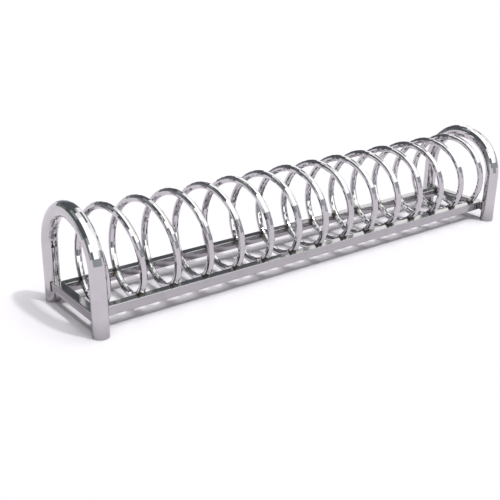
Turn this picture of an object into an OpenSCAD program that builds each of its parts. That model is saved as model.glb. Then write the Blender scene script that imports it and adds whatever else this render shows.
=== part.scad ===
// Free-standing spiral bike rack: two bent tube hoops joined by a low frame
// of square tube, with one long coil welded into saddles in its rails.
// Bicycle wheels stand in the slots between the turns of the coil.
// Millimetres. X runs along the rack, -Y is the front, +Z is up and the
// origin is on the floor under the middle of the rack.

/* [Overall size] */
// Length over the outsides of the two end hoops
rack_length = 1650; // [1300:10:2300]
// Depth over the outsides of a hoop's legs
rack_depth = 330; // [290:2:390]
// Height from the floor to the top of the hoops
rack_height = 330; // [310:2:420]

/* [End hoops] */
// Outside diameter of the bent tube
hoop_tube_d = 46; // [36:1:50]
// Wall of the bent tube
hoop_wall = 2; // [1.5:0.1:4]

/* [Rails and crossbars] */
// Width and height of the square tube
bar_size = 28; // [20:1:32]
// Wall of the square tube
bar_wall = 2; // [1.5:0.1:3]
// Outside corner radius of the square tube
bar_corner_r = 2.5; // [1:0.1:4]
// Gap between a rail's outer face and the legs beside it
rail_leg_gap = 5; // [3:0.5:12]

/* [Coil] */
// Outside diameter of the coil
coil_d = 286; // [250:1:300]
// Diameter of the coil's tube
coil_tube_d = 21; // [14:0.5:24]
// Turns between the middle planes of the two hoops
coil_turns = 14.75; // [9.75:1:19.75]
// Floor to the lowest point of the coil
coil_floor_gap = 22; // [12:0.5:26]

/* [Welds] */
// Root gap between a tube and the seat it is welded into
weld_gap = 0.3; // [0.1:0.05:0.6]
// Leg length of a weld bead
weld_leg = 3; // [1.5:0.5:4]

/* [Foot plugs] */
// Depth that a plug reaches into its leg
plug_depth = 22; // [12:1:40]
// Thickness of the plug's closed bottom
plug_floor = 4; // [2:0.5:8]
// Wall of the plug's sleeve
plug_wall = 2.5; // [1.5:0.1:4]
// Number of ribs that hold the plug in its leg
plug_ribs = 3; // [2:1:4]
// Height of one rib
plug_rib_h = 2; // [1:0.5:3]
// How far a rib stands out from the plug's sleeve
plug_rib_reach = 1; // [0.5:0.1:1.5]
// Clearance between the ribs and the bore of the leg
plug_fit = 0.1; // [0.05:0.05:0.4]

/* [Hidden] */
$fn = 96;
// Sides of the coil's tube, and its rings in one turn: a few across the
// bottom, from the front rail to the rear one, and the rest over the top
coil_sides = 10;
low_rings = 5;
high_rings = 19;
// Share of the tube's radius that is left where the coil's first end thins out
end_tip = 0.1;
// Overlap that carries a cutting tool past the face it cuts
past = 1;
// Clearance between a weld bead and the round tube that it runs around
bead_gap = 0.1;

// Hoops
hoop_r = (rack_depth - hoop_tube_d) / 2;
hoop_x = (rack_length - hoop_tube_d) / 2;
leg_h = rack_height - hoop_tube_d / 2 - hoop_r;
leg_bore_d = hoop_tube_d - 2 * hoop_wall;

// Coil
coil_r = (coil_d - coil_tube_d) / 2;
coil_z = coil_floor_gap + coil_d / 2;
coil_pitch = 2 * hoop_x / coil_turns;
coil_lean = atan2(coil_pitch, 2 * PI * coil_r);

// Rails: they lie beside the legs, at the height at which the coil's middle
// line passes through the upper inner edge of each
rail_inner_y = rack_depth / 2 - hoop_tube_d - rail_leg_gap - bar_size;
rail_y = rail_inner_y + bar_size / 2;
rail_end_x = hoop_x - bar_size / 2;
bar_top = coil_z - sqrt(coil_r * coil_r - rail_inner_y * rail_inner_y);
bar_floor_gap = bar_top - bar_size;
bar_z = bar_floor_gap + bar_size / 2;

// Angles from the top of a turn at which the coil crosses the rails
front_cross = 180 - asin(rail_inner_y / coil_r);
rear_cross = 360 - front_cross;

// Turns are counted from the left hoop's middle plane. The coil is cut flat
// where it meets the left hoop's inner side, and ends in the rear rail's
// last saddle, flat against the right crossbar.
coil_left_x = hoop_tube_d / 2 + weld_gap - hoop_x;
coil_right_x = rail_end_x - weld_gap;
last_turn = floor(coil_turns - rear_cross / 360);
coil_end = last_turn + rear_cross / 360;
coil_tube_r = coil_tube_d / 2;
end_reach = (1 - end_tip) * coil_tube_r * cos(coil_lean);
coil_start = (coil_left_x + hoop_x - end_reach) / coil_pitch;

// Rings of the coil, in turns: one falls on each rail crossing
ring_steps = concat(
    [for (i = [0 : low_rings - 1]) front_cross + i * (rear_cross - front_cross) / low_rings],
    [for (i = [0 : high_rings - 1]) rear_cross + i * (360 + front_cross - rear_cross) / high_rings]
) / 360;
least_step = 0.01;
coil_rings = concat(
    [coil_start],
    [
        for (turn = [-1 : last_turn], step = ring_steps)
            if (turn + step > coil_start + least_step && turn + step < coil_end + least_step)
                turn + step
    ]
);

// Point on the coil's middle line
function coil_point(turns) = [
    coil_pitch * turns - hoop_x,
    -coil_r * sin(360 * turns),
    coil_z + coil_r * cos(360 * turns),
];

// Least gap between one turn of the coil and the next, measured on points
gap_step = 1 / 72;
coil_gaps = [
    for (a = [0 : gap_step : 1], b = [a - 0.25 : gap_step : a + 0.25])
        norm(coil_point(a) - coil_point(1 + b)) - coil_tube_d
];
echo(str("Least gap between two turns of the coil: ", min(coil_gaps), " mm"));

// Outline of the square tube, with round corners
module bar_outline(size, corner) {
    square([size - 2 * corner, size], center = true);
    square([size, size - 2 * corner], center = true);
    for (x = [-1, 1], y = [-1, 1])
        translate([x, y] * (size / 2 - corner))
            circle(r = corner);
}

// Solid bar along X
module bar_solid(length, grow = 0) {
    rotate([90, 0, 90])
        linear_extrude(height = length, center = true)
            bar_outline(bar_size + 2 * grow, bar_corner_r + grow);
}

// Square tube along X
module bar_tube(length) {
    inner_corner = max(bar_corner_r - bar_wall, 0.3);
    difference() {
        bar_solid(length);
        rotate([90, 0, 90])
            linear_extrude(height = length + 2 * past, center = true)
                bar_outline(bar_size - 2 * bar_wall, inner_corner);
    }
}

// One point of a ring around the coil's middle line. A ring that an end
// face cuts keeps its round part, and its other points lie along the cut.
function ring_point(turns, angle, low, high) =
    let (
        side = sign(angle),
        cut_low = acos(max(low, -1)),
        cut_high = acos(min(high, 1)),
        round_part = abs(angle) <= cut_low && abs(angle) >= cut_high,
        beyond = abs(angle) > cut_low,
        across = beyond
            ? sin(cut_low) * (180 - abs(angle)) / (180 - cut_low)
            : sin(cut_high) * abs(angle) / max(cut_high, 1),
        u = round_part ? cos(angle) : beyond ? low : high,
        v = round_part ? sin(angle) : side * across,
        theta = 360 * turns,
        along_x = [cos(coil_lean), sin(coil_lean) * cos(theta), sin(coil_lean) * sin(theta)],
        outward = [0, -sin(theta), cos(theta)]
    )
    coil_point(turns) + coil_tube_r * (u * along_x + v * outward);

function ring(turns) =
    let (
        x = coil_pitch * turns - hoop_x,
        reach = coil_tube_r * cos(coil_lean),
        low = (coil_left_x - x) / reach,
        high = (coil_right_x - x) / reach
    )
    [
        for (j = [0 : coil_sides - 1])
            ring_point(turns, 360 * (j + 0.5) / coil_sides - 180, low, high)
    ];

// Bend that the coil takes where it crosses a rail, as a round bar. It is a
// true arc in the plane of the coil's own lean, with an angle that clears the
// rail on both sides.
module crossing_bar(turns, d) {
    bend_r = coil_r / pow(cos(coil_lean), 2);
    bend_half = 30;
    translate(coil_point(turns))
        rotate([360 * turns, 0, 0])
            rotate([0, 0, coil_lean])
                translate([0, 0, -bend_r])
                    rotate([0, -90, 180])
                        rotate([0, 0, -bend_half])
                            rotate_extrude(angle = 2 * bend_half)
                                translate([bend_r, 0])
                                    circle(d = d);
}

// Bent tube in the shape of an inverted U
module hoop() {
    difference() {
        hoop_path(hoop_tube_d, 0);
        hoop_path(leg_bore_d, past);
    }
}

module hoop_path(d, extra) {
    translate([0, 0, leg_h])
        rotate([90, 0, 90])
            rotate_extrude(angle = 180)
                translate([hoop_r, 0])
                    circle(d = d);
    for (side = [-1, 1])
        translate([0, side * hoop_r, -extra])
            cylinder(h = leg_h + extra, d = d);
}

// Rail with a saddle for each turn of the coil
module rail(side, cross_angle) {
    difference() {
        translate([0, side * rail_y, bar_z])
            bar_tube(2 * rail_end_x);
        for (turn = [0 : last_turn])
            crossing_bar(turn + cross_angle / 360, coil_tube_d + 2 * weld_gap);
    }
}

// Crossbar between the two legs of a hoop, coped to their round sides
module crossbar() {
    difference() {
        translate([0, 0, bar_z])
            rotate([0, 0, 90])
                bar_tube(2 * hoop_r);
        for (side = [-1, 1])
            translate([0, side * hoop_r, 0])
                cylinder(h = leg_h, d = hoop_tube_d + 2 * weld_gap);
    }
}

// The long coil, one unbroken sweep with its two ends cut flat
module coil() {
    count = len(coil_rings);
    last = (count - 1) * coil_sides;
    points = [for (turns = coil_rings) each ring(turns)];
    walls = [
        for (i = [0 : count - 2], j = [0 : coil_sides - 1])
            let (
                a = i * coil_sides + j,
                b = i * coil_sides + (j + 1) % coil_sides
            )
            each [[a, a + coil_sides, b], [b, a + coil_sides, b + coil_sides]]
    ];
    // Each end is a fan from a corner that lies off its flat side
    tip = coil_sides / 2;
    ends = [
        for (j = [1 : coil_sides - 2])
            each [
                [tip, (tip + j) % coil_sides, (tip + j + 1) % coil_sides],
                [last, last + j + 1, last + j],
            ]
    ];
    polyhedron(points, concat(walls, ends));
}

// Weld beads around the coil where it enters a rail
module coil_welds(side, cross_angle) {
    for (turn = [0 : last_turn])
        difference() {
            intersection() {
                crossing_bar(turn + cross_angle / 360, coil_tube_d + 2 * weld_leg);
                translate([0, side * rail_y, bar_z])
                    bar_solid(2 * (rail_end_x - weld_leg - bead_gap), weld_leg);
            }
            translate([0, side * rail_y, bar_z])
                bar_solid(2 * rack_length);
            crossing_bar(turn + cross_angle / 360, coil_tube_d + 2 * bead_gap);
        }
}

// Weld beads around both ends of a crossbar, where it meets the legs
module crossbar_welds() {
    for (side = [-1, 1])
        difference() {
            intersection() {
                translate([0, 0, bar_z])
                    rotate([0, 0, 90])
                        bar_solid(2 * hoop_r, weld_leg);
                translate([0, side * hoop_r, 0])
                    cylinder(h = leg_h, d = hoop_tube_d + 2 * weld_leg);
            }
            translate([0, 0, bar_z])
                rotate([0, 0, 90])
                    bar_solid(2 * rack_depth);
            translate([0, side * hoop_r, 0])
                cylinder(h = leg_h, d = hoop_tube_d + 2 * bead_gap);
        }
}

// Weld beads up both sides of each rail, where it meets the crossbar. They
// stop short of the coil's last end, which lies beside the rear rail.
module rail_welds(x_side) {
    difference() {
        for (side = [-1, 1], face = [-1, 1])
            translate([x_side * rail_end_x, side * rail_y + face * bar_size / 2, bar_floor_gap + bar_corner_r])
                linear_extrude(height = bar_size - 2 * bar_corner_r)
                    polygon([[0, 0], [-x_side * weld_leg, 0], [0, face * weld_leg]]);
        crossing_bar(coil_end, coil_tube_d + 2 * bead_gap);
    }
}

// Ribbed plastic plug, flush with the bottom end of a leg
module foot_plug() {
    sleeve_d = leg_bore_d - 2 * (plug_fit + plug_rib_reach);
    rib_pitch = (plug_depth - plug_floor) / plug_ribs;
    difference() {
        union() {
            cylinder(h = plug_floor, d = leg_bore_d - 2 * plug_fit);
            cylinder(h = plug_depth, d = sleeve_d);
            for (i = [0 : plug_ribs - 1])
                translate([0, 0, plug_floor + (i + 0.5) * rib_pitch])
                    cylinder(h = plug_rib_h, d = leg_bore_d - 2 * plug_fit);
        }
        translate([0, 0, plug_floor])
            cylinder(h = plug_depth, d = sleeve_d - 2 * plug_wall);
    }
}

module at_hoop(side) {
    translate([side * hoop_x, 0, 0])
        children();
}

module at_leg(x_side, y_side) {
    translate([x_side * hoop_x, y_side * hoop_r, 0])
        children();
}

steel = [0.77, 0.77, 0.78];
weld_steel = [0.6, 0.6, 0.62];
plastic = [0.2, 0.2, 0.21];

module left_hoop() { color(steel) at_hoop(-1) hoop(); }
module right_hoop() { color(steel) at_hoop(1) hoop(); }
module front_rail() { color(steel) rail(-1, front_cross); }
module rear_rail() { color(steel) rail(1, rear_cross); }
module left_crossbar() { color(steel) at_hoop(-1) crossbar(); }
module right_crossbar() { color(steel) at_hoop(1) crossbar(); }
module coil_tube() { color(steel) coil(); }
module front_coil_welds() { color(weld_steel) coil_welds(-1, front_cross); }
module rear_coil_welds() { color(weld_steel) coil_welds(1, rear_cross); }
module left_crossbar_welds() { color(weld_steel) at_hoop(-1) crossbar_welds(); }
module right_crossbar_welds() { color(weld_steel) at_hoop(1) crossbar_welds(); }
module left_rail_welds() { color(weld_steel) rail_welds(-1); }
module right_rail_welds() { color(weld_steel) rail_welds(1); }

left_hoop();
right_hoop();
front_rail();
rear_rail();
left_crossbar();
right_crossbar();
coil_tube();  // coil
front_coil_welds();
rear_coil_welds();
left_crossbar_welds();
right_crossbar_welds();
left_rail_welds();
right_rail_welds();
color(plastic) at_leg(-1, -1) foot_plug();  // front_left_foot_plug
color(plastic) at_leg(-1, 1) foot_plug();  // rear_left_foot_plug
color(plastic) at_leg(1, -1) foot_plug();  // front_right_foot_plug
color(plastic) at_leg(1, 1) foot_plug();  // rear_right_foot_plug
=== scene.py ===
"""Looks of the spiral bike rack: polished tube hoops, a long coil and a low frame of square tube."""

import math

import bmesh
import bpy
from mathutils import Matrix, Vector

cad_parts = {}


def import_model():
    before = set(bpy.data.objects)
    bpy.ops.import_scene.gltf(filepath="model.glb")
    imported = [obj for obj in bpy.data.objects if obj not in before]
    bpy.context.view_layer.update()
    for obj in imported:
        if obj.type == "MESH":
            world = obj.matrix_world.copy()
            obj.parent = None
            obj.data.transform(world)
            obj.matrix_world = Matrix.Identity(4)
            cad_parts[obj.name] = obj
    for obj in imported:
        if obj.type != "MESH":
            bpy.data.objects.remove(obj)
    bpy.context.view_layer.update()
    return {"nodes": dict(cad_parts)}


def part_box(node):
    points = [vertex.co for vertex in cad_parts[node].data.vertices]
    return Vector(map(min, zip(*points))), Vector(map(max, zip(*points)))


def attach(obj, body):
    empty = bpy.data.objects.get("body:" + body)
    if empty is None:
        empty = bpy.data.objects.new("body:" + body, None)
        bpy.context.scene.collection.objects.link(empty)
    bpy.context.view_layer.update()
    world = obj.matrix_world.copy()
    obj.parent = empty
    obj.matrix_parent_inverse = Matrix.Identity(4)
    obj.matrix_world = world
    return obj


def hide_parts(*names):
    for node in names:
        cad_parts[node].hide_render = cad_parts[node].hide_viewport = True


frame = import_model()

# Everything is in metres, in the frame's own axes: X along the rack, -Y its front, Z up.
BODY = "root"
ALONG = Vector((1, 0, 0))
REARWARD = Vector((0, 1, 0))
UP = Vector((0, 0, 1))

# Sizes that the frame gives
hoop_lo, hoop_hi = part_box("left_hoop")
HOOP_TUBE_R = (hoop_hi.x - hoop_lo.x) / 2
HOOP_X = -(hoop_lo.x + hoop_hi.x) / 2
HOOP_R = hoop_hi.y - HOOP_TUBE_R
LEG_H = hoop_hi.z - HOOP_TUBE_R - HOOP_R
rail_lo, rail_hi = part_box("front_rail")
BAR = rail_hi.z - rail_lo.z
BAR_Z = (rail_lo.z + rail_hi.z) / 2
RAIL_Y = -(rail_lo.y + rail_hi.y) / 2
RAIL_END_X = rail_hi.x

# Sizes of the tubes. COIL_TURNS pitches of the coil fit between the middles of the hoops.
HOOP_WALL = 0.002
BAR_WALL = 0.002
BAR_CORNER_R = 0.0025
END_CHAMFER = 0.0006
COIL_D = 0.286
COIL_TUBE_D = 0.021
COIL_TURNS = 14.75
COIL_FLOOR_GAP = 0.022

# Weld beads. A ripple is one drop of metal, and over each ripple the bead narrows
# by a share of its radius at most. An open bead's end is rounded over most of a
# radius, and starts from a share of the radius at its tip.
WELD_GAP = 0.0003
BEAD_R = 0.0025
BEAD_RIPPLE = 0.0026
BEAD_DIP = 0.3
BEAD_ROUNDED = 0.98
BEAD_TIP = 0.05
BEAD_LINE_STEP = 0.001

# Reach of the marks on the metal: straw and black around a seat, and dust with painted shade up from the
# ground, rougher and darker towards the feet
STRAW_REACH = 0.030
SEAT_DARK_REACH = 0.020
BLACK_REACH = 0.013
SEAT_MARK_RAGGED = 0.008
DUST_AND_SHADE_H = 0.075
DUST_AND_SHADE_RAGGED = 0.008

# The coil's middle line. A place on it is a number of turns from its top at the
# left hoop's middle. Each turn crosses the inner faces of the two rails.
COIL_TUBE_R = COIL_TUBE_D / 2
COIL_R = (COIL_D - COIL_TUBE_D) / 2
COIL_Z = COIL_FLOOR_GAP + COIL_D / 2
COIL_PITCH = 2 * HOOP_X / COIL_TURNS
COIL_LEFT_X = HOOP_TUBE_R + WELD_GAP - HOOP_X
COIL_RIGHT_X = RAIL_END_X - WELD_GAP
FRONT_CROSS = 0.5 - math.asin((RAIL_Y - BAR / 2) / COIL_R) / (2 * math.pi)
REAR_CROSS = 1 - FRONT_CROSS
LAST_TURN = math.floor(COIL_TURNS - REAR_CROSS)
COIL_END = LAST_TURN + REAR_CROSS

# Fineness of the meshes. The bent tube shows fine flats, as the photograph does:
# sides around the tube, and rings in a hoop's half circle or in a turn. A bead has
# rings to each ripple. Edges sharper than an angle in degrees stay sharp.
HOOP_SIDES = 24
HOOP_RINGS = 26
COIL_SIDES = 14
COIL_RINGS = 44
CORNER_STEPS = 6
BEAD_SIDES = 10
BEAD_RINGS = 4
SADDLE_SIDES = 48
SADDLE_RINGS = 24
COPE_SIDES = 96
SHARP_ANGLE = 35

# Tints of the metal, the studio and the floor
NEUTRAL = (1, 1, 1)
LILAC = (1.0, 0.95, 1.005)
SHADE = (1.0, 0.965, 1.03)
COOL = (0.94, 1.0, 1.08)
STRAW = (1.08, 0.95, 0.82)
BLUE_BLACK = (0.95, 0.96, 1.1)

# Tones of the metal, and the share of them that each mark leaves. The rails and crossbars
# get lower tones than the tubes as painted shade, the front rail a little and the rear rail
# and crossbars more.
TUBE_TONE = 0.595
FRONT_RAIL_SHADED_TONE = 0.46
BAR_SHADED_TONE = 0.39
SMUDGED_SHARE = 0.9
SPECK_SHARE = 0.75
# The share at the feet is dust with painted shade, darker towards the ground.
DUST_AND_SHADE_SHARE = 0.68
STRAW_SHARE = 0.45
SEAT_BLACK_TONE = 0.045

# Studio that the metal reflects, in degrees. Azimuth 0 is behind the rack, 90
# beyond its right end and -90 beyond its left end. Each zone is laid over those
# before it: azimuth from and to, elevation from and to, soft edge, level, tint.
# The rest has the level of the near side.
NEAR_SIDE = 1.9
STUDIO_ZONES = [
    (-118, 112, 20, 72, 3, 1.25, NEUTRAL),
    (-115, 27, 12, 62, 2, 0.13, COOL),
    (-57, -31, 42, 60, 2, 0.38, COOL),
    (27, 49, 34, 64, 2, 1.8, NEUTRAL),
    (49, 91, 44, 66, 2, 0.22, COOL),
    (-181, 181, -1, 19, 2, 0.46, COOL),
    (-133, 50, 7, 20, 2, 0.24, COOL),
    (27, 42, -1, 32, 2, 0.15, COOL),
    (42, 105, 9, 40, 2, 1.4, NEUTRAL),
    (-53, 12, -1, 7, 2, 0.9, NEUTRAL),
]

# Plain light on everything else: an even level, and two lamps by azimuth,
# elevation, strength, tint, spread, and whether polished metal shows them
AMBIENT = 0.2
LAMPS = {
    "key_lamp": (150, 63, 1.0, NEUTRAL, 4, True),
    "top_lamp": (150, 80, 1.75, SHADE, 45, False),
}

# The floor is white to the camera, and a little darker where metal mirrors it.
FLOOR_HALF = 60
FLOOR_MIRRORED = 0.92
FLOOR_ROUGH = 0.9
WHITE = 1.0

# Camera of the photograph, in degrees, metres and pixels of its frame. Azimuth 0
# is in front of the rack here, and -90 beyond its left end.
CAMERA_AZIMUTH = -38
CAMERA_ELEVATION = 21.5
CAMERA_ROLL = 1
CAMERA_PLACE = (-1.6525, -1.8529, 0.9871)
FOCAL_PX = 808
IMAGE_PX = 500
SENSOR_MM = 36


def piece(name, mesh, material, cad_nodes, flats_above=math.inf):
    """Finishes one visible piece: it rides on the frame and stands for its CAD
    nodes. Its faces above a height keep their flats, and the others are smooth."""
    obj = bpy.data.objects.new(name, mesh)
    bpy.context.scene.collection.objects.link(obj)
    mesh.set_sharp_from_angle(angle=math.radians(SHARP_ANGLE))
    for polygon in mesh.polygons:
        polygon.use_smooth = polygon.center.z < flats_above
    mesh.materials.append(material)
    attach(obj, BODY)
    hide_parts(*cad_nodes)


def mesh_from_rings(name, loops):
    """Mesh through rings of points. A loop of rings that isn't closed gets a flat cap at each end."""
    bm = bmesh.new()
    for rings, closed in loops:
        rows = [[bm.verts.new(p) for p in ring] for ring in rings]
        count = len(rows)
        sides = len(rows[0])
        for i in range(count if closed else count - 1):
            a, b = rows[i], rows[(i + 1) % count]
            for j in range(sides):
                k = (j + 1) % sides
                bm.faces.new((a[j], a[k], b[k], b[j]))
        if not closed:
            bm.faces.new(list(reversed(rows[0])))
            bm.faces.new(rows[-1])
    bmesh.ops.recalc_face_normals(bm, faces=bm.faces)
    mesh = bpy.data.meshes.new(name)
    bm.to_mesh(mesh)
    bm.free()
    return mesh


def circle(centre, across, up, radius, sides):
    """Points of a circle in the plane of two unit vectors."""
    angles = [2 * math.pi * j / sides for j in range(sides)]
    return [centre + radius * (math.cos(a) * across + math.sin(a) * up) for a in angles]


def coil_frame(turns):
    """Middle point of the coil and its two directions across the tube."""
    angle = 2 * math.pi * turns
    x = COIL_PITCH * turns - HOOP_X
    point = Vector((x, -COIL_R * math.sin(angle), COIL_Z + COIL_R * math.cos(angle)))
    slope = 2 * math.pi * COIL_R
    along = Vector((COIL_PITCH, -slope * math.cos(angle), -slope * math.sin(angle))).normalized()
    outward = Vector((0, -math.sin(angle), math.cos(angle)))
    return point, outward, along.cross(outward)


def coil_rings(start, end, radius, sides, count):
    """Rings along the coil's middle line, from one number of turns to another."""
    rings = []
    for i in range(count + 1):
        point, outward, across = coil_frame(start + (end - start) * i / count)
        rings.append(circle(point, outward, across, radius, sides))
    return rings


def cut_flat(mesh, x, keep_side):
    """Cuts a mesh with an upright plane across the rack and closes the cut."""
    bm = bmesh.new()
    bm.from_mesh(mesh)
    cut = bmesh.ops.bisect_plane(
        bm,
        geom=bm.verts[:] + bm.edges[:] + bm.faces[:],
        plane_co=(x, 0, 0),
        plane_no=(keep_side, 0, 0),
        clear_inner=True,
    )
    edges = [e for e in cut["geom_cut"] if isinstance(e, bmesh.types.BMEdge)]
    bmesh.ops.contextual_create(bm, geom=edges)
    bmesh.ops.recalc_face_normals(bm, faces=bm.faces)
    bm.to_mesh(mesh)
    bm.free()


def boolean_cut(mesh, cutter_mesh):
    """The first mesh without the space of the second."""
    target = bpy.data.objects.new("cut_target", mesh)
    cutter = bpy.data.objects.new("cutter", cutter_mesh)
    for obj in (target, cutter):
        bpy.context.scene.collection.objects.link(obj)
    modifier = target.modifiers.new("cut", "BOOLEAN")
    modifier.operation = "DIFFERENCE"
    modifier.solver = "EXACT"
    modifier.object = cutter
    depsgraph = bpy.context.evaluated_depsgraph_get()
    result = bpy.data.meshes.new_from_object(target.evaluated_get(depsgraph))
    for obj in (target, cutter):
        bpy.data.objects.remove(obj)
    return result


def bar_outline(size, corner):
    """Square with round corners, as pairs of numbers."""
    points = []
    reach = size / 2 - corner
    for quarter in range(4):
        turn = math.pi / 2 * quarter
        cx = reach * (1 if quarter in (0, 3) else -1)
        cy = reach * (1 if quarter in (0, 1) else -1)
        for i in range(CORNER_STEPS + 1):
            a = turn + math.pi / 2 * i / CORNER_STEPS
            points.append((cx + corner * math.cos(a), cy + corner * math.sin(a)))
    return points


def bar_tube(name, centre, along, across, length):
    """Square tube with both ends open, around a middle point."""
    outer = bar_outline(BAR, BAR_CORNER_R)
    shoulder = bar_outline(BAR - 2 * END_CHAMFER, BAR_CORNER_R - END_CHAMFER)
    inner = bar_outline(BAR - 2 * BAR_WALL, BAR_CORNER_R - BAR_WALL)
    half = length / 2
    stations = [
        (-half, inner), (-half, shoulder), (-half + END_CHAMFER, outer),
        (half - END_CHAMFER, outer), (half, shoulder), (half, inner),
    ]
    rings = [
        [centre + place * along + u * across + v * UP for u, v in outline]
        for place, outline in stations
    ]
    return mesh_from_rings(name, [(rings, True)])


def hoop_mesh(name, x):
    """Bent tube in the shape of an inverted U, with a bore."""
    bore_r = HOOP_TUBE_R - HOOP_WALL
    stations = []
    for z in (0, LEG_H / 3, LEG_H * 2 / 3):
        stations.append((Vector((x, -HOOP_R, z)), -REARWARD))
    for i in range(HOOP_RINGS + 1):
        a = math.pi * i / HOOP_RINGS
        outward = Vector((0, -math.cos(a), math.sin(a)))
        stations.append((Vector((x, 0, LEG_H)) + HOOP_R * outward, outward))
    for z in (LEG_H * 2 / 3, LEG_H / 3, 0):
        stations.append((Vector((x, HOOP_R, z)), REARWARD))

    def ring(index, radius, lift=0):
        point, outward = stations[index]
        return circle(point + lift * UP, outward, ALONG, radius, HOOP_SIDES)

    last = len(stations) - 1
    rings = [ring(0, HOOP_TUBE_R - END_CHAMFER), ring(0, HOOP_TUBE_R, END_CHAMFER)]
    rings += [ring(i, HOOP_TUBE_R) for i in range(1, last)]
    rings += [ring(last, HOOP_TUBE_R, END_CHAMFER), ring(last, HOOP_TUBE_R - END_CHAMFER)]
    rings += [ring(i, bore_r) for i in range(last, -1, -1)]
    return mesh_from_rings(name, [(rings, True)])


def coil_mesh():
    """One unbroken sweep, cut flat beside the left hoop and against the right crossbar."""
    spare_turns = 0.04
    start = (COIL_LEFT_X + HOOP_X) / COIL_PITCH - spare_turns
    end = COIL_END + spare_turns / 2
    count = round((end - start) * COIL_RINGS)
    rings = coil_rings(start, end, COIL_TUBE_R, COIL_SIDES, count)
    mesh = mesh_from_rings("coil", [(rings, False)])
    cut_flat(mesh, COIL_LEFT_X, 1)
    cut_flat(mesh, COIL_RIGHT_X, -1)
    return mesh


def rail_mesh(name, side, cross):
    """Rail with a saddle for each turn of the coil."""
    bar = bar_tube(name, Vector((0, side * RAIL_Y, BAR_Z)), ALONG, REARWARD, 2 * RAIL_END_X)
    reach_turns = 0.09
    radius = COIL_TUBE_R + WELD_GAP
    loops = []
    for turn in range(LAST_TURN + 1):
        start, end = turn + cross - reach_turns, turn + cross + reach_turns
        loops.append((coil_rings(start, end, radius, SADDLE_SIDES, SADDLE_RINGS), False))
    return boolean_cut(bar, mesh_from_rings("saddles", loops))


def crossbar_mesh(name, x):
    """Crossbar between the two legs of a hoop, coped to their round sides."""
    bar = bar_tube(name, Vector((x, 0, BAR_Z)), REARWARD, ALONG, 2 * HOOP_R)
    radius = HOOP_TUBE_R + WELD_GAP
    loops = []
    for side in (-1, 1):
        rings = [
            circle(Vector((x, side * HOOP_R, z)), ALONG, REARWARD, radius, COPE_SIDES)
            for z in (BAR_Z - BAR, BAR_Z + BAR)
        ]
        loops.append((rings, False))
    return boolean_cut(bar, mesh_from_rings("copes", loops))


def resample(points, closed, step):
    """Points at equal steps along a line of points, and never fewer than four steps."""
    line = points + points[:1] if closed else points
    lengths = [0.0]
    for a, b in zip(line, line[1:]):
        lengths.append(lengths[-1] + (b - a).length)
    count = max(round(lengths[-1] / step), 4)
    shortest = 1e-9
    result = []
    i = 0
    for k in range(count if closed else count + 1):
        target = lengths[-1] * k / count
        while i < len(line) - 2 and lengths[i + 1] < target:
            i += 1
        part = (target - lengths[i]) / max(lengths[i + 1] - lengths[i], shortest)
        result.append(line[i].lerp(line[i + 1], min(part, 1)))
    return result


def bead_rings(points, closed):
    """Rings of a weld bead along a line: a round string with a ripple for each drop of metal."""
    step = BEAD_RIPPLE / BEAD_RINGS
    line = resample(points, closed, step)
    count = len(line)
    across = None
    rings = []
    for i, point in enumerate(line):
        before = line[i - 1] if closed or i > 0 else point
        after = line[(i + 1) % count] if closed or i < count - 1 else point
        along = (after - before).normalized()
        if across is None:
            across = along.orthogonal().normalized()
        across = (across - along * across.dot(along)).normalized()
        phase = i / BEAD_RINGS % 1
        radius = BEAD_R * (1 - BEAD_DIP * (1 - math.sqrt(1 - phase * phase)))
        if not closed:
            from_end = min(i, count - 1 - i) * step
            short_of_full = 1 - min(from_end / BEAD_R, BEAD_ROUNDED)
            radius *= math.sqrt(1 - short_of_full ** 2) + BEAD_TIP
        rings.append(circle(point, across, along.cross(across), radius, BEAD_SIDES))
    return rings


def bar_depth(y, z, side):
    """Distance from a point to the skin of a rail, less than nothing inside it."""
    reach = BAR / 2 - BAR_CORNER_R
    dy = abs(y - side * RAIL_Y) - reach
    dz = abs(z - BAR_Z) - reach
    return math.hypot(max(dy, 0), max(dz, 0)) + min(max(dy, dz), 0) - BAR_CORNER_R


def saddle_line(turns, side):
    """Closed line around the coil's tube where it sinks into a rail. Lines along the
    tube's skin, spread around its outer side, are searched for where they enter
    the rail and where they leave it."""
    reach_turns = 0.08
    count = 64
    widest = 0.6 * math.pi
    half_steps = 45
    entering, leaving = [], []
    for j in range(-half_steps, half_steps + 1):
        a = widest * j / half_steps
        last = None
        found = []
        for i in range(count + 1):
            middle, outward, across = coil_frame(turns + reach_turns * (2 * i / count - 1))
            point = middle + COIL_TUBE_R * (math.cos(a) * outward + math.sin(a) * across)
            depth = bar_depth(point.y, point.z, side)
            if last and (depth < 0) != (last[1] < 0):
                found.append(last[0].lerp(point, last[1] / (last[1] - depth)))
            last = (point, depth)
        if len(found) == 2:
            entering.append(found[0])
            leaving.append(found[1])
    return entering + leaving[::-1]


def coil_beads(name, side, cross):
    """Beads around the coil at each saddle. The last one is open at the rail's end."""
    loops = []
    for turn in range(LAST_TURN + 1):
        line = saddle_line(turn + cross, side)
        if max(p.x for p in line) < RAIL_END_X - BEAD_R:
            loops.append((bead_rings(line, True), True))
        else:
            inside = [p for p in line if p.x < RAIL_END_X - BEAD_R]
            start = max(range(len(inside)), key=lambda i: (inside[i] - inside[i - 1]).length)
            loops.append((bead_rings(inside[start:] + inside[:start], False), False))
    return mesh_from_rings(name, loops)


def crossbar_beads(name, x):
    """Beads around both ends of a crossbar, on the round sides of the legs."""
    loops = []
    for side in (-1, 1):
        line = []
        for u, v in bar_outline(BAR, BAR_CORNER_R):
            sink = math.sqrt(HOOP_TUBE_R ** 2 - u * u)
            line.append(Vector((x + u, side * (HOOP_R - sink), BAR_Z + v)))
        loops.append((bead_rings(resample(line, True, BEAD_LINE_STEP), True), True))
    return mesh_from_rings(name, loops)


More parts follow.
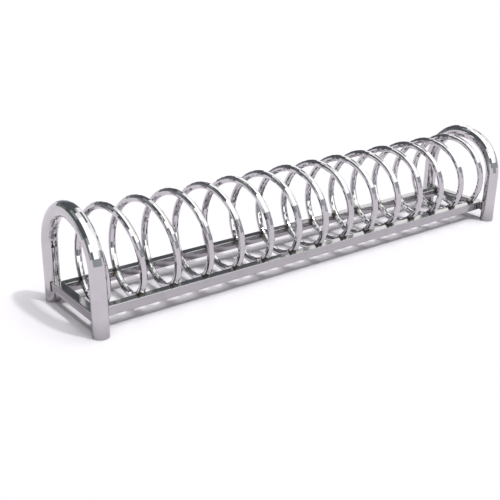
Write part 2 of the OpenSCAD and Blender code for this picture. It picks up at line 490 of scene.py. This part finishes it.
def rail_beads(name, x_side):
    """Beads up both sides of each rail's end. One stops under the coil's last end."""
    loops = []
    low = BAR_Z - BAR / 2 + BAR_CORNER_R
    for side in (-1, 1):
        for face in (-1, 1):
            under_coil = x_side > 0 and side > 0 and face < 0
            high = BAR_Z + BAR / 2 - (COIL_TUBE_R + BEAD_R if under_coil else BAR_CORNER_R)
            y = side * RAIL_Y + face * BAR / 2
            ends = [Vector((x_side * RAIL_END_X, y, z)) for z in (low, high)]
            loops.append((bead_rings(ends, False), False))
    return mesh_from_rings(name, loops)


class Nodes:
    """Short calls that add and link shader nodes."""

    def __init__(self, tree):
        self.tree = tree

    def add(self, kind, settings=None, inputs=None):
        node = self.tree.nodes.new(kind)
        for key, value in (settings or {}).items():
            setattr(node, key, value)
        for key, value in (inputs or {}).items():
            self.put(node.inputs[key], value)
        return node

    def put(self, socket, value):
        if isinstance(value, bpy.types.NodeSocket):
            self.tree.links.new(value, socket)
        else:
            socket.default_value = value

    def place(self):
        return self.add("ShaderNodeTexCoord").outputs["Object"]

    def axes(self, vector):
        return self.add("ShaderNodeSeparateXYZ", None, {0: vector}).outputs

    def math(self, operation, a, b=0.0):
        return self.add("ShaderNodeMath", {"operation": operation}, {0: a, 1: b}).outputs[0]

    def plus(self, a, b):
        return self.math("ADD", a, b)

    def minus(self, a, b):
        return self.math("SUBTRACT", a, b)

    def times(self, a, b):
        return self.math("MULTIPLY", a, b)

    def fit(self, value, low, high, to_low=0.0, to_high=1.0, kind="LINEAR"):
        inputs = {"Value": value, "From Min": low, "From Max": high, "To Min": to_low, "To Max": to_high}
        return self.add("ShaderNodeMapRange", {"interpolation_type": kind}, inputs).outputs["Result"]

    def fade(self, value, low, high):
        return self.fit(value, low, high, kind="SMOOTHSTEP")

    def mix(self, share, a, b):
        factor, first, second, result = 0, 6, 7, 2
        inputs = {factor: share, first: a, second: b}
        return self.add("ShaderNodeMix", {"data_type": "RGBA"}, inputs).outputs[result]

    def noise(self, vector, scale, detail=3.0, rough=0.5):
        inputs = {"Vector": vector, "Scale": scale, "Detail": detail, "Roughness": rough}
        return self.add("ShaderNodeTexNoise", None, inputs).outputs[0]

    def stretched(self, vector, scale):
        return self.add("ShaderNodeMapping", None, {"Vector": vector, "Scale": scale}).outputs["Vector"]

    def bump(self, height, strength, distance, over=None):
        inputs = {"Height": height, "Strength": strength, "Distance": distance}
        if over is not None:
            inputs["Normal"] = over
        return self.add("ShaderNodeBump", None, inputs).outputs[0]


def new_material(name):
    """Material with its nodes and its shader."""
    material = bpy.data.materials.new(name)
    material.use_nodes = True
    tree = material.node_tree
    return material, Nodes(tree), tree.nodes["Principled BSDF"]


def link_shader(nodes, shader, colour, rough, normal):
    nodes.put(shader.inputs["Base Color"], colour)
    nodes.put(shader.inputs["Roughness"], rough)
    nodes.put(shader.inputs["Normal"], normal)


def grey(level, tint=NEUTRAL):
    """Colour of a level of light or of a tone, with a tint."""
    return (level * tint[0], level * tint[1], level * tint[2], 1)


def seat_distance(nodes, place, cross):
    """Distance from a point to the nearest seat of the coil in a rail."""
    axes = nodes.axes(place)
    first = COIL_PITCH * cross - HOOP_X
    wrap = {0: nodes.minus(axes["X"], first), 1: COIL_PITCH / 2, 2: -COIL_PITCH / 2}
    dx = nodes.add("ShaderNodeMath", {"operation": "WRAP"}, wrap).outputs[0]
    dy = nodes.minus(nodes.math("ABSOLUTE", axes["Y"]), RAIL_Y - BAR / 2)
    dz = nodes.minus(axes["Z"], BAR_Z + BAR / 2)
    offset = nodes.add("ShaderNodeCombineXYZ", None, {0: dx, 1: dy, 2: dz}).outputs[0]
    return nodes.add("ShaderNodeVectorMath", {"operation": "LENGTH"}, {0: offset}).outputs["Value"]


def dusted_and_shaded(nodes, place, smudge, tone, colour, rough):
    """Colour and roughness with a film of dust, which makes it rougher, and painted shade, which makes
    it darker, both fading out above the ground.
    """
    height = nodes.plus(nodes.axes(place)["Z"], nodes.times(smudge, DUST_AND_SHADE_RAGGED))
    dust_and_shade = nodes.fade(height, DUST_AND_SHADE_H, 0)
    colour = nodes.mix(dust_and_shade, colour, grey(tone * DUST_AND_SHADE_SHARE))
    return colour, nodes.plus(rough, nodes.times(dust_and_shade, 0.1))


def darkened_at_seat(nodes, away, tone, colour, rough):
    """Colour and roughness with a near-black mark and a straw-coloured edge around a seat."""
    straw = nodes.fade(away, STRAW_REACH, SEAT_DARK_REACH)
    black = nodes.fade(away, SEAT_DARK_REACH, BLACK_REACH)
    colour = nodes.mix(nodes.times(straw, 0.35), colour, grey(tone * STRAW_SHARE, STRAW))
    colour = nodes.mix(black, colour, grey(SEAT_BLACK_TONE, BLUE_BLACK))
    return colour, nodes.plus(rough, nodes.times(black, 0.18))


def chrome(name, tone, smooth, smudged, seats=(), dusty_and_shaded=False):
    """Polished chrome with faint smudges, hairlines from wiping, a few dull specks,
    near-black marks with straw edges around the seats that the coil is welded into, and dust and painted
    shade on the feet."""
    material, nodes, shader = new_material(name)
    place = nodes.place()
    smudge = nodes.fade(nodes.noise(place, scale=14, detail=4, rough=0.6), 0.42, 0.68)
    speck = nodes.fit(nodes.noise(place, scale=620, detail=2), 0.69, 0.74)
    colour = nodes.mix(nodes.times(smudge, 0.6), grey(tone), grey(tone * SMUDGED_SHARE))
    colour = nodes.mix(speck, colour, grey(tone * SPECK_SHARE))
    rough = nodes.plus(nodes.fit(smudge, 0, 1, smooth, smudged), nodes.times(speck, 0.2))
    # Dust makes the feet rougher, and painted shade makes them darker.
    if dusty_and_shaded:
        colour, rough = dusted_and_shaded(nodes, place, smudge, tone, colour, rough)
    ragged = nodes.times(nodes.noise(place, scale=130), SEAT_MARK_RAGGED)
    # Near-black around each seat, with a straw-coloured edge.
    for cross in seats:
        away = nodes.plus(seat_distance(nodes, place, cross), ragged)
        colour, rough = darkened_at_seat(nodes, away, tone, colour, rough)
    hairline = nodes.noise(nodes.stretched(place, (900, 900, 60)), scale=1, detail=2)
    fine = nodes.bump(hairline, strength=0.03, distance=0.0003)
    wave = nodes.noise(place, scale=32, detail=1)
    normal = nodes.bump(wave, strength=0.06, distance=0.002, over=fine)
    shader.inputs["Metallic"].default_value = 1
    link_shader(nodes, shader, colour, rough, normal)
    return material


def weld_steel():
    """Bare bead metal: dark scale, straw and blue heat colours, a rough skin."""
    material, nodes, shader = new_material("weld")
    place = nodes.place()
    heat = nodes.noise(place, scale=90)
    scale_colour = grey(0.055, (1, 0.95, 0.93))
    straw_colour = grey(0.13, (1.1, 1, 0.85))
    blue_colour = grey(0.1, (0.8, 0.95, 1.25))
    colour = nodes.mix(nodes.fit(heat, 0.4, 0.6), scale_colour, straw_colour)
    colour = nodes.mix(nodes.fit(heat, 0.6, 0.7), colour, blue_colour)
    rough = nodes.fit(nodes.noise(place, scale=700), 0.3, 0.7, 0.32, 0.55)
    normal = nodes.bump(nodes.noise(place, scale=900, detail=4), strength=0.5, distance=0.0003)
    shader.inputs["Metallic"].default_value = 1
    link_shader(nodes, shader, colour, rough, normal)
    return material


def foot_plastic():
    """Black moulded plastic with a fine grain, scuffed grey in patches."""
    material, nodes, shader = new_material("foot_plastic")
    place = nodes.place()
    scuff = nodes.fit(nodes.noise(place, scale=160, detail=5, rough=0.7), 0.5, 0.7)
    colour = nodes.mix(scuff, grey(0.022), grey(0.06))
    rough = nodes.fit(scuff, 0, 1, 0.45, 0.75)
    normal = nodes.bump(nodes.noise(place, scale=1500, detail=2), strength=0.35, distance=0.0002)
    link_shader(nodes, shader, colour, rough, normal)
    return material


def lamp(name, azimuth, elevation, strength, tint, spread, mirrored):
    """Soft lamp from one direction."""
    a, e = math.radians(azimuth), math.radians(elevation)
    data = bpy.data.lights.new(name, "SUN")
    data.energy = strength
    data.color = tint
    data.angle = math.radians(spread)
    obj = bpy.data.objects.new(name, data)
    obj.rotation_mode = "QUATERNION"
    towards = Vector((math.sin(a) * math.cos(e), math.cos(a) * math.cos(e), math.sin(e)))
    obj.rotation_quaternion = towards.to_track_quat("Z", "Y")
    obj.visible_glossy = mirrored
    bpy.context.scene.collection.objects.link(obj)


def camera():
    """Camera at the photograph's viewing angle."""
    a, e, t = (math.radians(v) for v in (CAMERA_AZIMUTH, CAMERA_ELEVATION, CAMERA_ROLL))
    back = Vector((math.sin(a) * math.cos(e), -math.cos(a) * math.cos(e), math.sin(e)))
    level = (-back).cross(UP).normalized()
    upright = level.cross(-back)
    right = math.cos(t) * level + math.sin(t) * upright
    up = -math.sin(t) * level + math.cos(t) * upright
    data = bpy.data.cameras.new("camera")
    data.sensor_width = SENSOR_MM
    data.lens = SENSOR_MM * FOCAL_PX / IMAGE_PX
    obj = bpy.data.objects.new("camera", data)
    bpy.context.scene.collection.objects.link(obj)
    turned = Matrix((right, up, back)).transposed().to_4x4()
    obj.matrix_world = Matrix.Translation(CAMERA_PLACE) @ turned
    bpy.context.scene.camera = obj


def floor():
    """Plain white studio floor, which keeps the rack's soft shadow."""
    corners = [(x * FLOOR_HALF, y * FLOOR_HALF, 0) for x, y in ((-1, -1), (1, -1), (1, 1), (-1, 1))]
    mesh = bpy.data.meshes.new("floor")
    mesh.from_pydata(corners, [], [(0, 1, 2, 3)])
    material, nodes, shader = new_material("floor_white")
    shader.inputs["Roughness"].default_value = FLOOR_ROUGH
    shader.inputs["Specular IOR Level"].default_value = 0
    seen = nodes.add("ShaderNodeLightPath").outputs["Is Camera Ray"]
    colour = nodes.mix(seen, grey(FLOOR_MIRRORED, LILAC), grey(WHITE))
    nodes.put(shader.inputs["Base Color"], colour)
    mesh.materials.append(material)
    obj = bpy.data.objects.new("floor", mesh)
    bpy.context.scene.collection.objects.link(obj)


def world():
    """White to the camera, a plain level for dull surfaces, and for polished metal
    a studio that is bright on the near side and has dark walls behind the rack.
    A mirror's ray that follows a dull bounce gets the plain level too."""
    studio = bpy.data.worlds.new("studio")
    studio.use_nodes = True
    tree = studio.node_tree
    nodes = Nodes(tree)
    axes = nodes.axes(nodes.add("ShaderNodeTexCoord").outputs["Generated"])
    azimuth = nodes.math("DEGREES", nodes.math("ARCTAN2", axes["X"], axes["Y"]))
    elevation = nodes.math("DEGREES", nodes.math("ARCSINE", axes["Z"]))

    def band(value, low, high, soft):
        off = nodes.math("ABSOLUTE", nodes.minus(value, (low + high) / 2))
        half = (high - low) / 2
        return nodes.fade(off, half + soft, half - soft)

    colour = grey(NEAR_SIDE)
    for az_low, az_high, el_low, el_high, soft, level, tint in STUDIO_ZONES:
        across = band(azimuth, az_low, az_high, soft)
        upward = band(elevation, el_low, el_high, soft)
        colour = nodes.mix(nodes.times(across, upward), colour, grey(level, tint))
    rays = nodes.add("ShaderNodeLightPath").outputs
    thrown = nodes.math("MINIMUM", rays["Diffuse Depth"], 1.0)
    mirrored = nodes.times(rays["Is Glossy Ray"], nodes.minus(1.0, thrown))
    colour = nodes.mix(mirrored, grey(AMBIENT, SHADE), colour)
    colour = nodes.mix(rays["Is Camera Ray"], colour, grey(WHITE))
    nodes.put(tree.nodes["Background"].inputs["Color"], colour)
    bpy.context.scene.world = studio


HOOP_CHROME = chrome("hoop_chrome", TUBE_TONE, smooth=0.015, smudged=0.06, dusty_and_shaded=True)
COIL_CHROME = chrome("coil_chrome", TUBE_TONE, 0.015, 0.05, seats=(FRONT_CROSS, REAR_CROSS))
# The crossbars and rails are painted darker than the tubes as shade.
BAR_CHROME = chrome("bar_chrome", BAR_SHADED_TONE, smooth=0.09, smudged=0.16)
FRONT_RAIL_CHROME = chrome("front_rail_chrome", FRONT_RAIL_SHADED_TONE, 0.09, 0.16, seats=(FRONT_CROSS,))
REAR_RAIL_CHROME = chrome("rear_rail_chrome", BAR_SHADED_TONE, 0.09, 0.16, seats=(REAR_CROSS,))
WELD = weld_steel()
PLASTIC = foot_plastic()

# What comes in twice: its name, its side, and for a rail where the coil crosses it
# and its metal
ENDS = (("left", -1), ("right", 1))
RAILS = (
    ("front", -1, FRONT_CROSS, FRONT_RAIL_CHROME),
    ("rear", 1, REAR_CROSS, REAR_RAIL_CHROME),
)

camera()
floor()
world()
for name, settings in LAMPS.items():
    lamp(name, *settings)

for end_name, x_side in ENDS:
    name = end_name + "_hoop_tube"
    mesh = hoop_mesh(name, x_side * HOOP_X)
    piece(name, mesh, HOOP_CHROME, [end_name + "_hoop"], flats_above=LEG_H)
piece("coil_tube", coil_mesh(), COIL_CHROME, ["coil"], flats_above=0)
for rail_name, y_side, cross, metal in RAILS:
    name = rail_name + "_rail_tube"
    piece(name, rail_mesh(name, y_side, cross), metal, [rail_name + "_rail"])
for end_name, x_side in ENDS:
    x = x_side * HOOP_X
    name = end_name + "_crossbar_tube"
    piece(name, crossbar_mesh(name, x), BAR_CHROME, [end_name + "_crossbar"])
    name = end_name + "_crossbar_beads"
    piece(name, crossbar_beads(name, x), WELD, [end_name + "_crossbar_welds"])
    name = end_name + "_rail_beads"
    piece(name, rail_beads(name, x_side), WELD, [end_name + "_rail_welds"])
for rail_name, y_side, cross, metal in RAILS:
    name = rail_name + "_coil_beads"
    piece(name, coil_beads(name, y_side, cross), WELD, [rail_name + "_coil_welds"])
for name, node in frame["nodes"].items():
    if name.endswith("_plug"):
        node.data.materials.clear()
        node.data.materials.append(PLASTIC)

bpy.context.scene.view_settings.view_transform = "Standard"
